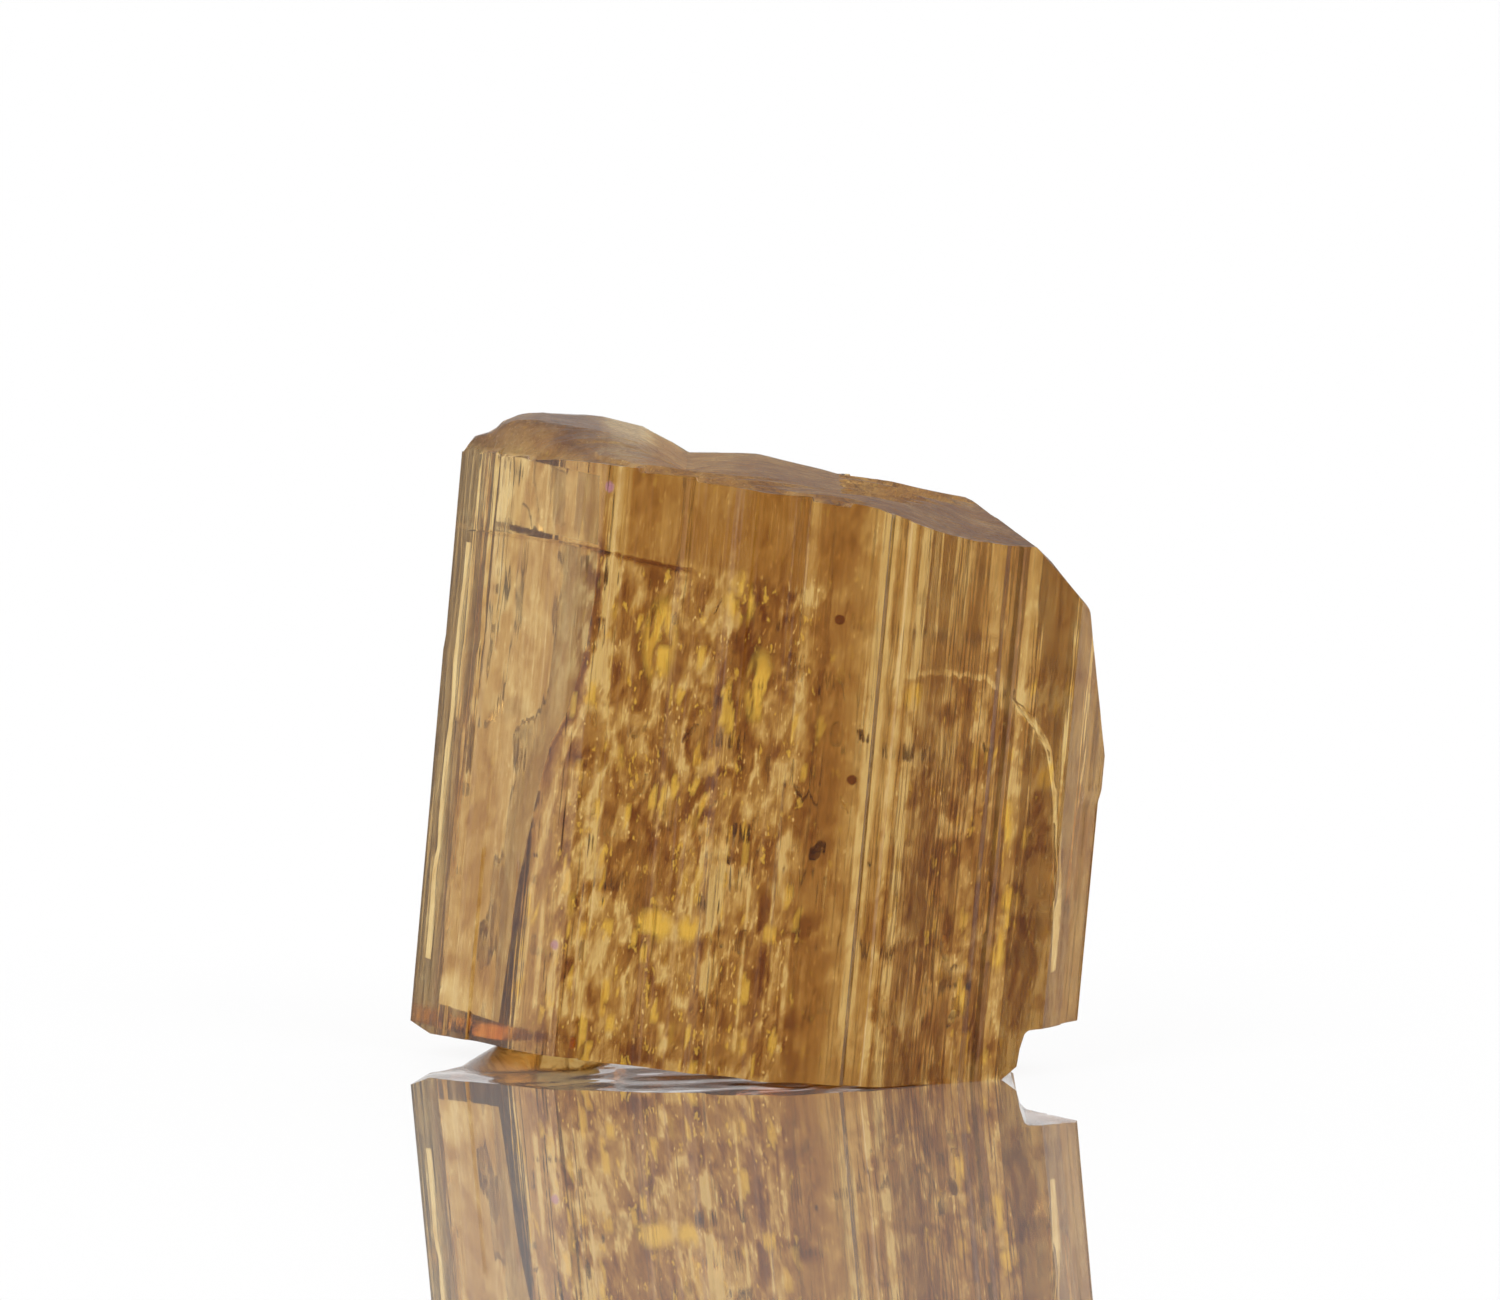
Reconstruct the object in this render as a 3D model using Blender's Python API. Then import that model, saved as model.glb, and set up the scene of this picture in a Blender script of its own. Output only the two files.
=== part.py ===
"""A stout golden topaz crystal: a striated orthorhombic prism, cleaved at the top and broken at the base.

The crystal is one solid. It is made the way the real one came about: first the whole prism that grew,
then the surfaces that it broke along, each cut from the prism by a block with that surface's relief.
All sizes below are millimetres in the crystal's own frame, whose Z is the long crystal axis.
"""

import math
import random

import bmesh
import bpy
from mathutils import Matrix, Vector, noise

MM = 0.001

# How the crystal stands: it leans to the right on its base.
LEAN = math.radians(5.2)
GROUND_DROP = 0.30

# Topaz prism forms come from its axial ratio: form n has its normals at atan(n * a / b) from the a axis.
AXIAL_RATIO = 4.65 / 8.80
FORM_M = math.atan(AXIAL_RATIO)
FORM_L = math.atan(2 * AXIAL_RATIO)
FRONT = 0.0
BACK = math.pi

# Prism faces, anticlockwise from the left: name, turn of the normal from the viewer, distance from the axis,
# and the typical width of a growth strip on it. The narrow faces named after edges blunt those edges.
PRISM_FACES = (
    ("left_l", FRONT - FORM_L, 4.69, 0.62),
    ("left_edge", FRONT - (FORM_L + FORM_M) / 2, 4.34, 0.62),
    ("left_m", FRONT - FORM_M, 3.97, 0.52),
    ("front_left_edge", FRONT - FORM_M / 2, 4.465, 0.42),
    ("front", FRONT, 4.80, 0.50),
    ("front_right_edge", FRONT + FORM_M / 2, 5.32, 0.32),
    ("right_m", FRONT + FORM_M, 5.60, 0.50),
    ("right_l", FRONT + FORM_L, 6.71, 0.55),
    ("right_edge", math.pi / 2, 7.33, 0.40),
    ("back_right_l", BACK - FORM_L, 4.14, 0.62),
    ("back_right_m", BACK - FORM_M, 3.08, 0.58),
    ("back_left_m", BACK + FORM_M, 5.68, 0.50),
    ("back_left_l", BACK + FORM_L, 6.16, 0.62),
)
STRIP_SPREAD = (0.35, 1.65)
STRIATION_DEPTH = 0.055
STRIATION_SEED = 12

# Grooves that run the whole height: face, distance across it to the groove, and the groove's width and depth.
GROOVES = (
    ("left_l", 1.15, 0.30, 0.07),
    ("left_m", 0.35, 0.22, 0.09),
    ("left_m", 3.45, 0.36, 0.07),
    ("front", 1.30, 0.48, 0.08),
    ("right_m", 0.12, 0.16, 0.09),
    ("right_m", 1.90, 0.40, 0.07),
    ("back_right_m", 2.60, 0.55, 0.09),
    ("back_right_m", 6.10, 0.35, 0.07),
    ("back_left_l", 1.50, 0.45, 0.08),
)
GROOVE_WALL = 0.05

# Growth steps: face, where they start and end across it as shares of its width, the height that they
# stop at, and how far the face stands back above (+) or below (-) that height.
GROWTH_STEPS = (
    ("left_l", 0.00, 0.40, 8.3, 0.04),
    ("left_l", 0.45, 0.72, 3.9, -0.05),
    ("right_l", 0.55, 1.00, 6.5, -0.06),
    ("right_edge", 0.00, 1.00, 6.5, -0.06),
    ("back_right_l", 0.00, 0.25, 6.5, -0.06),
    ("back_right_l", 0.50, 0.85, 3.9, 0.07),
    ("back_right_m", 0.15, 0.40, 9.6, 0.08),
    ("back_right_m", 0.55, 0.80, 4.4, -0.08),
    ("back_left_l", 0.30, 0.65, 6.5, 0.07),
)
STEP_RUN = 0.06
PRISM_BOTTOM = -2.0
PRISM_TOP = 15.5
BLOCK_OVERSHOOT = 1.5

# The top: a cleavage terrace that steps down to the right, with a hill left standing at the back left.
TOP_HEIGHT = 12.76
TOP_DIP = 0.045
TOP_DIP_START = -3.0
LEFT_RIM_DIP = 0.07
LEFT_RIM_START = -4.1
# Across the terrace run low ledges, each a small wall to the front with a tread that falls to the back.
LEDGE_SPACING = 1.15
LEDGE_HEIGHT = 0.11
LEDGE_WANDER = 1.6
LEDGE_BENDS = (0.35, 0.50)
# Along the front rim a flake is split off, whose width varies from place to place.
RIM_FLAKE_WIDTH = 0.45
RIM_FLAKE_SWING = 0.60
RIM_FLAKE_BENDS = 0.70
RIM_FLAKE_DROP = 0.07
# The hill's outline along X, as heights, and the share of the way from the front rim to the back rim
# over which its front slope climbs. The front rim's faces come first in the list, the back rim's last.
FRONT_RIM_FACES = PRISM_FACES[:7]
BACK_RIM_FACES = PRISM_FACES[9:]
LEAST_WAY_ACROSS = 0.1
HILL_OUTLINE = (
    (-7.50, 12.45), (-7.20, 12.95), (-6.80, 13.08), (-6.62, 13.28), (-6.30, 13.43), (-5.80, 13.50),
    (-4.40, 13.42), (-3.50, 13.26), (-3.05, 13.05), (-2.40, 12.74), (-1.80, 12.84), (-0.80, 12.92),
    (0.30, 12.80), (1.00, 12.72),
)
HILL_SLOPE = (0.06, 0.34)

# The broken shoulder on the right, as curved breaks from the top down. Each is a hollow between planes,
# and a plane is a point on it with its rise per millimetre along X and along Y.
SHOULDER_BREAKS = (
    (((1.20, -4.80, 12.71), -0.13, 0.05),),
    (((3.97, -4.23, 12.05), -0.30, 0.12), ((3.97, -4.23, 12.05), -0.10, 0.12)),
    (((5.11, 0.62, 11.83), -0.64, -0.08),),
    (((6.29, -3.00, 11.05), -1.00, -0.03),),
    (((7.00, -1.90, 9.06), -5.00, 0.00),),
)

# The base: a cleavage surface that climbs to the right, a foot at the back left and blunt corners.
BASE_HEIGHT = -0.12
BASE_CLIMB = 0.045
FOOT_CENTRE = (-4.60, 2.20)
FOOT_REACH = (1.15, 1.10)
FOOT_DROP = 0.62
FOOT_BLUNTNESS = 1.5
LEFT_CORNER_START = -7.0
LEFT_CORNER_SLOPE = 0.45
RIGHT_CORNER_START = 5.6
RIGHT_CORNER_SLOPE = 0.9

# The notch broken out of the base on the right: where it starts, its height there, how its roof climbs to
# the right, and the rounding of its inner corner.
NOTCH_EDGE = 6.02
NOTCH_HEIGHT = 1.28
NOTCH_CLIMB = 0.17
NOTCH_ROUNDING = 0.16

# Fineness of the broken surfaces.
TOP_CELL = 0.36
BASE_CELL = 0.44
NOTCH_CELL = 0.30
RELIEF_HALF_X = 9.0
RELIEF_HALF_Y = 6.0
HACKLE_HEIGHT = 0.035
HACKLE_SIZE = 1.1

# Layers of the noise field that each broken surface reads its own unevenness from.
TOP_LAYER = 1.0
BASE_LAYER = 3.0
RIM_FLAKE_LAYER = 4.0
NOTCH_LAYER = 5.0
SHOULDER_LAYER = 7.0
LEDGE_LAYER = 9.0

TOPAZ_COLOUR = (0.62, 0.34, 0.10, 1.0)
TOPAZ_ROUGHNESS = 0.18
TOPAZ_IOR = 1.62


def remove_startup_objects():
    for startup_object in list(bpy.data.objects):
        bpy.data.objects.remove(startup_object)


def face_normal(turn):
    """The outward normal of a prism face, turned from the viewer (-Y) towards +X."""
    return Vector((math.sin(turn), -math.cos(turn)))


def meeting_point(face, next_face):
    """The corner of the prism's cross-section where two faces meet."""
    normals = Matrix((face_normal(face[1]), face_normal(next_face[1])))
    return normals.inverted() @ Vector((face[2], next_face[2]))


def strip_edges(width, typical, spread):
    """Distances across a face at which one growth strip ends and the next begins, from corner to corner."""
    edges = [0.0]
    while width - edges[-1] > typical * STRIP_SPREAD[1]:
        edges.append(edges[-1] + typical * spread.uniform(*STRIP_SPREAD))
    return edges


def strip_insets(name, width, typical, spread):
    """Strip edges across a face as (distance, how deep the edge lies), with its grooves cut in."""
    insets = []
    for distance in strip_edges(width, typical, spread):
        insets.append((distance, spread.uniform(0, STRIATION_DEPTH) if distance else 0.0))
    for groove_name, start, groove_width, depth in GROOVES:
        if groove_name != name:
            continue
        end = start + groove_width
        insets = [edge for edge in insets if not start - GROOVE_WALL < edge[0] < end + GROOVE_WALL]
        insets += [(start, 0.0), (start + GROOVE_WALL, depth), (end - GROOVE_WALL, depth), (end, 0.0)]
    return sorted(insets)


def striation_columns():
    """The prism's vertical striation edges: face name, share across the face, point on it, and its normal."""
    spread = random.Random(STRIATION_SEED)
    columns = []
    for index, face in enumerate(PRISM_FACES):
        name, turn, _, typical = face
        start = meeting_point(PRISM_FACES[index - 1], face)
        end = meeting_point(face, PRISM_FACES[(index + 1) % len(PRISM_FACES)])
        width = (end - start).length
        along = (end - start) / width
        normal = face_normal(turn)
        for distance, depth in strip_insets(name, width, typical, spread):
            columns.append((name, distance / width, start + along * distance - normal * depth, normal))
    return columns


def step_back(name, share, height):
    """How far a growth step sets a column back at a height."""
    back = 0.0
    for step_name, start, end, level, depth in GROWTH_STEPS:
        if name == step_name and start <= share <= end:
            side = height - level if depth > 0 else level - height
            back += abs(depth) * min(max(0.5 + side / STEP_RUN, 0.0), 1.0)
    return back


def row_heights():
    """Heights of the prism's rows of points: its two ends, and just below and above each growth step."""
    levels = sorted({step[3] for step in GROWTH_STEPS})
    rows = [PRISM_BOTTOM]
    for level in levels:
        rows += [level - STEP_RUN / 2, level + STEP_RUN / 2]
    return rows + [PRISM_TOP]


def grown_prism():
    """The whole prism as it grew, longer than what is left of it at both ends."""
    mesh = bmesh.new()
    rings = []
    for height in row_heights():
        ring = []
        for name, share, point, normal in striation_columns():
            inset = point - normal * step_back(name, share, height)
            ring.append(mesh.verts.new((inset.x * MM, inset.y * MM, height * MM)))
        rings.append(ring)
    for lower, upper in zip(rings, rings[1:]):
        for index in range(len(lower)):
            after = (index + 1) % len(lower)
            mesh.faces.new((lower[index], lower[after], upper[after], upper[index]))
    mesh.faces.new(reversed(rings[0]))
    mesh.faces.new(rings[-1])
    bmesh.ops.triangulate(mesh, faces=mesh.faces[:])
    return object_from(mesh, "topaz_crystal")


def clamp(value):
    return min(max(value, 0.0), 1.0)


def hackle(x, y, layer):
    """The fine unevenness of a broken surface."""
    return HACKLE_HEIGHT * noise.noise(Vector((x / HACKLE_SIZE, y / HACKLE_SIZE, layer)))


def depth_inside(x, y, faces):
    """How far a point lies inside the nearest of some prism faces."""
    return min(face[2] - face_normal(face[1]).dot(Vector((x, y))) for face in faces)


def outline_height(x, outline):
    """The height of an outline at x, level beyond its ends."""
    height = outline[0][1]
    for (x_low, z_low), (x_high, z_high) in zip(outline, outline[1:]):
        height += (z_high - z_low) * clamp((x - x_low) / (x_high - x_low))
    return height


def shoulder(x, y):
    """Height of the broken shoulder: the lowest of its breaks, each the highest of its planes."""
    breaks = []
    for planes in SHOULDER_BREAKS:
        heights = [z + along_x * (x - x0) + along_y * (y - y0) for (x0, y0, z), along_x, along_y in planes]
        breaks.append(max(heights))
    return min(breaks) + hackle(x, y, SHOULDER_LAYER)


def ledges(x, y):
    """Height of the low ledges above the middle of their treads."""
    bend = noise.noise(Vector((x * LEDGE_BENDS[0], y * LEDGE_BENDS[1], LEDGE_LAYER)))
    place = (y + LEDGE_WANDER * bend) / LEDGE_SPACING
    fallen = place - math.floor(place)
    return LEDGE_HEIGHT * (0.5 - fallen)


def top_relief(x, y):
    """Height of the cleaved top."""
    terrace = TOP_HEIGHT - TOP_DIP * max(x, TOP_DIP_START) - LEFT_RIM_DIP * max(LEFT_RIM_START - x, 0.0)
    terrace += ledges(x, y)
    front = depth_inside(x, y, FRONT_RIM_FACES)
    back = depth_inside(x, y, BACK_RIM_FACES)
    swing = noise.noise(Vector((x * RIM_FLAKE_BENDS, y * RIM_FLAKE_BENDS, RIM_FLAKE_LAYER)))
    if front < RIM_FLAKE_WIDTH + RIM_FLAKE_SWING * swing:
        terrace -= RIM_FLAKE_DROP
    way_back = clamp(front / max(front + back, LEAST_WAY_ACROSS))
    climb = clamp((way_back - HILL_SLOPE[0]) / (HILL_SLOPE[1] - HILL_SLOPE[0]))
    if x < HILL_OUTLINE[-1][0]:
        terrace += climb * (outline_height(x, HILL_OUTLINE) - terrace)
    return min(terrace + hackle(x, y, TOP_LAYER), shoulder(x, y))


def base_relief(x, y):
    """Height of the broken base, above the flat ground where the two would meet."""
    height = BASE_HEIGHT + BASE_CLIMB * x + hackle(x, y, BASE_LAYER)
    height += LEFT_CORNER_SLOPE * max(LEFT_CORNER_START - x, 0.0)
    height += RIGHT_CORNER_SLOPE * max(min(x, NOTCH_EDGE) - RIGHT_CORNER_START, 0.0)
    across = math.hypot((x - FOOT_CENTRE[0]) / FOOT_REACH[0], (y - FOOT_CENTRE[1]) / FOOT_REACH[1])
    height -= FOOT_DROP * clamp(FOOT_BLUNTNESS - across)
    ground = x * math.tan(LEAN) - GROUND_DROP / math.cos(LEAN)
    return max(height, ground)


def notch_relief(x, y):
    """Height of the notch's roof."""
    inside = x - NOTCH_EDGE
    rounding = NOTCH_ROUNDING * (1.0 - clamp(inside / NOTCH_ROUNDING))
    return NOTCH_HEIGHT + NOTCH_CLIMB * inside - rounding + hackle(x, y, NOTCH_LAYER)


def relief_block(name, relief, far, cell, west=-RELIEF_HALF_X):
    """A block between a broken surface and a level far outside the crystal: what broke away."""
    mesh = bmesh.new()
    columns = round((RELIEF_HALF_X - west) / cell)
    rows = round(2 * RELIEF_HALF_Y / cell)
    grid = []
    for row in range(rows + 1):
        y = -RELIEF_HALF_Y + row * cell
        line = []
        for column in range(columns + 1):
            x = west + column * cell
            line.append(mesh.verts.new((x * MM, y * MM, relief(x, y) * MM)))
        grid.append(line)
    for near, away in zip(grid, grid[1:]):
        for index in range(columns):
            mesh.faces.new((near[index], near[index + 1], away[index + 1], away[index]))
    bmesh.ops.triangulate(mesh, faces=mesh.faces[:])
    outer = bmesh.ops.extrude_face_region(mesh, geom=mesh.faces[:])
    for item in outer["geom"]:
        if isinstance(item, bmesh.types.BMVert):
            item.co.z = far * MM
    bmesh.ops.recalc_face_normals(mesh, faces=mesh.faces[:])
    block = object_from(mesh, name)
    block.hide_render = True
    block.display_type = "WIRE"
    return block


def object_from(mesh, name):
    data = bpy.data.meshes.new(name)
    mesh.to_mesh(data)
    mesh.free()
    made = bpy.data.objects.new(name, data)
    bpy.context.scene.collection.objects.link(made)
    return made


def topaz_material():
    material = bpy.data.materials.new("golden_topaz")
    material.use_nodes = True
    shader = material.node_tree.nodes["Principled BSDF"]
    shader.inputs["Base Color"].default_value = TOPAZ_COLOUR
    shader.inputs["Roughness"].default_value = TOPAZ_ROUGHNESS
    shader.inputs["Metallic"].default_value = 0.0
    shader.inputs["IOR"].default_value = TOPAZ_IOR
    return material


def break_along(crystal, block):
    """Takes a block away from the crystal."""
    cut = crystal.modifiers.new(block.name, "BOOLEAN")
    cut.operation = "DIFFERENCE"
    cut.solver = "EXACT"
    cut.object = block


def stand_on_ground(crystal, blocks):
    """Leans the crystal, and sets the middle of its box over the origin with its feet at height 0."""
    frame = bpy.data.objects.new("crystal_frame", None)
    bpy.context.scene.collection.objects.link(frame)
    frame.rotation_euler = (0.0, LEAN, 0.0)
    frame.location = (0.0, 0.0, GROUND_DROP * MM)
    for item in (crystal, *blocks):
        item.parent = frame
    bpy.context.view_layer.update()
    graph = bpy.context.evaluated_depsgraph_get()
    standing = crystal.evaluated_get(graph)
    points = [standing.matrix_world @ corner.co for corner in standing.data.vertices]
    for axis in (0, 1):
        values = [point[axis] for point in points]
        frame.location[axis] -= (min(values) + max(values)) / 2


def main():
    remove_startup_objects()
    crystal = grown_prism()
    crystal.data.materials.append(topaz_material())
    above = PRISM_TOP + BLOCK_OVERSHOOT
    below = PRISM_BOTTOM - BLOCK_OVERSHOOT
    blocks = [
        relief_block("broken_off_top", top_relief, above, TOP_CELL),
        relief_block("broken_off_base", base_relief, below, BASE_CELL),
        relief_block("broken_out_notch", notch_relief, below, NOTCH_CELL, west=NOTCH_EDGE),
    ]
    for block in blocks:
        break_along(crystal, block)
    stand_on_ground(crystal, blocks)


main()
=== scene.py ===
"""A golden topaz crystal standing on a pale polished table, in soft light from a white studio."""

import math
import random

import bmesh
import bpy
import numpy as np
from mathutils import Matrix, Vector, noise
from mathutils.geometry import delaunay_2d_cdt


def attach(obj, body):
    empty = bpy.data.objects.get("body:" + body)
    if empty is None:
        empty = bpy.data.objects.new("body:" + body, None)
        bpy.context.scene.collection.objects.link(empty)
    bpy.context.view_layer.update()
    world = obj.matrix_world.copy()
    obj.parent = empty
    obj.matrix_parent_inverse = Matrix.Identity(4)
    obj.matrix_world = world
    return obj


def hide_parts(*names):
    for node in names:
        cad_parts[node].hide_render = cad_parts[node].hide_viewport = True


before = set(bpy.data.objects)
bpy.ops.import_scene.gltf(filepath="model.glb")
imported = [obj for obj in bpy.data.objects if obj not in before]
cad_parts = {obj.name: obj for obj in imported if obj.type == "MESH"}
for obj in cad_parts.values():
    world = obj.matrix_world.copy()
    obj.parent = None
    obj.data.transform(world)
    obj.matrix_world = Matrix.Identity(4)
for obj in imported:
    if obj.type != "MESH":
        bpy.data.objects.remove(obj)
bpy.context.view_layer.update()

# The topaz crystal. It is one natural crystal of clear golden topaz, a stout prism that grew as a single
# piece. Both its ends are broken, and it stands loose on the table, on its base.
MM = 0.001

# Its sides are the faces of an orthorhombic prism, each a (name, turn from the front, distance from the
# middle, usual width of a growth strip). Fine striations run along them, where two forms alternate.
LEAN = math.radians(5.2)
GROUND_DROP = 0.30
AXIAL_RATIO = 4.65 / 8.80
FORM_M = math.atan(AXIAL_RATIO)
FORM_L = math.atan(2 * AXIAL_RATIO)
BACK = math.pi
PRISM_FACES = (
    ("left_l", -FORM_L, 4.69, 0.62),
    ("left_edge", -(FORM_L + FORM_M) / 2, 4.34, 0.62),
    ("left_m", -FORM_M, 3.97, 0.52),
    ("front_left_edge", -FORM_M / 2, 4.465, 0.42),
    ("front", 0.0, 4.80, 0.50),
    ("front_right_edge", FORM_M / 2, 5.32, 0.32),
    ("right_m", FORM_M, 5.60, 0.50),
    ("right_l", FORM_L, 6.71, 0.55),
    ("right_edge", math.pi / 2, 7.33, 0.40),
    ("back_right_l", BACK - FORM_L, 4.14, 0.62),
    ("back_right_m", BACK - FORM_M, 3.08, 0.58),
    ("back_left_m", BACK + FORM_M, 5.68, 0.50),
    ("back_left_l", BACK + FORM_L, 6.16, 0.62),
)
FRONT_FACES = PRISM_FACES[:8]
BACK_FACES = PRISM_FACES[9:]
STRIP_SPREAD = (0.35, 1.65)
STRIP_DEPTH = 0.040
STRIP_SEED = 12

# A groove is a (face, place across it, width, depth). A growth step is a (face, shares of its width between
# which it lies, height, depth), and its depth is below 0 where the crystal is narrower above it.
GROOVES = (
    ("left_l", 1.15, 0.30, 0.02),
    ("left_m", 0.35, 0.22, 0.09),
    ("left_m", 3.45, 0.36, 0.07),
    ("front", 1.30, 0.48, 0.08),
    ("right_m", 0.12, 0.22, 0.008),
    ("right_m", 1.90, 0.40, 0.04),
    ("back_right_m", 2.60, 0.55, 0.09),
    ("back_right_m", 6.10, 0.35, 0.07),
    ("back_left_l", 1.50, 0.45, 0.08),
)
GROOVE_WALL = 0.09
GROWTH_STEPS = (
    ("left_l", 0.00, 0.40, 8.3, 0.04),
    ("left_l", 0.45, 0.72, 3.9, -0.05),
    ("right_l", 0.55, 1.00, 6.5, -0.06),
    ("right_edge", 0.00, 1.00, 6.5, -0.06),
    ("back_right_l", 0.00, 0.25, 6.5, -0.06),
    ("back_right_l", 0.50, 0.85, 3.9, 0.07),
    ("back_right_m", 0.15, 0.40, 9.6, 0.08),
    ("back_right_m", 0.55, 0.80, 4.4, -0.08),
    ("back_left_l", 0.30, 0.65, 6.5, 0.07),
)
STEP_RUN = 0.30
FINE_STRIP = 0.062
FINE_DEPTH = 0.011
FINE_SEED = 5
FINE_RIPPLE = 0.8
FINE_OWN = 0.7
RIPPLE_SCALE = (0.37, 0.35)
ROW_HEIGHT = 0.17
HILL_RISE = 1.0


def clamp(value):
    """A value kept between 0 and 1."""
    return min(max(value, 0.0), 1.0)


def face_normal(turn):
    """The outward normal of a prism face, turned from the viewer (-Y) towards +X."""
    return Vector((math.sin(turn), -math.cos(turn)))


def meeting_point(face, next_face):
    """The corner of the prism's cross-section where two faces meet."""
    normals = Matrix((face_normal(face[1]), face_normal(next_face[1])))
    return normals.inverted() @ Vector((face[2], next_face[2]))


def strip_insets(name, width, typical, spread):
    """Growth strip edges across a face as (distance, depth), with the face's grooves cut in."""
    distances = [0.0]
    while width - distances[-1] > typical * STRIP_SPREAD[1]:
        distances.append(distances[-1] + typical * spread.uniform(*STRIP_SPREAD))
    insets = [(distance, spread.uniform(0, STRIP_DEPTH) if distance else 0.0) for distance in distances]
    for groove_name, start, groove_width, depth in GROOVES:
        if groove_name != name:
            continue
        end = start + groove_width
        insets = [edge for edge in insets if not start - GROOVE_WALL < edge[0] < end + GROOVE_WALL]
        insets += [(start, 0.0), (start + GROOVE_WALL, depth), (end - GROOVE_WALL, depth), (end, 0.0)]
    return sorted(insets)


def fine_columns():
    """Every fine strip edge round the prism: face name, share across the face, point, normal, own depth."""
    spread = random.Random(STRIP_SEED)
    fine = random.Random(FINE_SEED)
    columns = []
    for index, face in enumerate(PRISM_FACES):
        name, turn, _, typical = face
        start = meeting_point(PRISM_FACES[index - 1], face)
        end = meeting_point(face, PRISM_FACES[(index + 1) % len(PRISM_FACES)])
        width = (end - start).length
        along = (end - start) / width
        normal = face_normal(turn)
        insets = strip_insets(name, width, typical, spread) + [(width, 0.0)]
        for (low, low_depth), (high, high_depth) in zip(insets, insets[1:]):
            count = max(1, round((high - low) / FINE_STRIP))
            for part in range(count):
                share = part / count
                distance = low + (high - low) * share
                depth = low_depth + (high_depth - low_depth) * share
                own = fine.uniform(0, 1) if distance else 0.0
                point = start + along * distance - normal * depth
                columns.append((name, distance / width, point, normal, own))
    return columns


def step_back(name, share, height):
    """How far a growth step sets a column back at a height."""
    back = 0.0
    for step_name, start, end, level, depth in GROWTH_STEPS:
        if name == step_name and start <= share <= end:
            side = height - level if depth > 0 else level - height
            back += abs(depth) * clamp(0.5 + side / STEP_RUN)
    return back


# The broken ends. Above, a cleavage terrace steps down to the right, a hill is left standing at the back
# left, and the right shoulder is a curved break, whose planes are (point, climb along x, climb along y).
# Below, the base is cleaved, with a notch and a foot.
TOP_HEIGHT = 12.76
TOP_DIP = 0.045
TOP_DIP_START = -3.0
LEFT_RIM_DIP = 0.07
LEFT_RIM_START = -4.1
LEDGE_WIDTH = 0.75
LEDGE_WAVER = 0.8
LEDGE_NARROWEST = 0.6
LEDGE_SCALE = 0.7
LEDGE_DROP = 0.07
TOP_LEDGES = 1.15
TOP_LEDGE_HEIGHT = 0.11
TOP_LEDGE_WANDER = 1.6
TOP_LEDGE_SCALE = (0.35, 0.5)
HILL_OUTLINE = (
    (-7.50, 12.45), (-7.20, 12.95), (-6.80, 13.08), (-6.62, 13.28), (-6.30, 13.43), (-5.80, 13.50),
    (-4.40, 13.42), (-3.50, 13.26), (-3.05, 13.05), (-2.40, 12.74), (-1.80, 12.84), (-0.80, 12.92),
    (0.30, 12.80), (1.00, 12.72),
)
HILL_SLOPE = (0.06, 0.34)
SHOULDER_BREAKS = (
    (((1.20, -4.80, 12.71), -0.13, 0.05),),
    (((3.97, -4.23, 12.05), -0.30, 0.12), ((3.97, -4.23, 12.05), -0.10, 0.12)),
    (((5.11, 0.62, 11.83), -0.64, -0.08),),
    (((6.29, -3.00, 11.05), -1.00, -0.03),),
    (((7.00, -1.90, 9.06), -5.00, 0.00),),
)
BASE_HEIGHT = -0.12
BASE_CLIMB = 0.045
FOOT_CENTRE = (-4.60, 2.20)
FOOT_REACH = (1.15, 1.10)
FOOT_DROP = 0.62
FOOT_EDGE = 1.5
LEFT_CORNER_START = -7.0
LEFT_CORNER_SLOPE = 0.45
RIGHT_CORNER_START = 5.6
RIGHT_CORNER_SLOPE = 0.9
NOTCH_EDGE = 6.02
NOTCH_HEIGHT = 1.28
NOTCH_CLIMB = 0.17
NOTCH_ROUNDING = 0.16
HACKLE_HEIGHT = 0.035
HACKLE_SIZE = 1.1
CAP_CELL = 0.11
CAP_EDGE_GAP = 0.07
CAP_X = (-7.6, 7.6)
CAP_Y = (-5.0, 5.2)
SAME_POINT = 1e-6


def hackle(x, y, layer):
    """The fine unevenness of a broken surface."""
    return HACKLE_HEIGHT * noise.noise(Vector((x / HACKLE_SIZE, y / HACKLE_SIZE, layer)))


def depth_inside(x, y, faces):
    """How far a point lies inside the nearest of some prism faces."""
    return min(face[2] - face_normal(face[1]).dot(Vector((x, y))) for face in faces)


def outline_height(x, outline):
    """The height of an outline at x, level beyond its ends."""
    height = outline[0][1]
    for (x_low, z_low), (x_high, z_high) in zip(outline, outline[1:]):
        height += (z_high - z_low) * clamp((x - x_low) / (x_high - x_low))
    return height


def shoulder(x, y):
    """Height of the broken shoulder: the lowest of its breaks, each the highest of its planes."""
    breaks = []
    for planes in SHOULDER_BREAKS:
        heights = [z + along_x * (x - x0) + along_y * (y - y0) for (x0, y0, z), along_x, along_y in planes]
        breaks.append(max(heights))
    return min(breaks) + hackle(x, y, 7.0)


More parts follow.
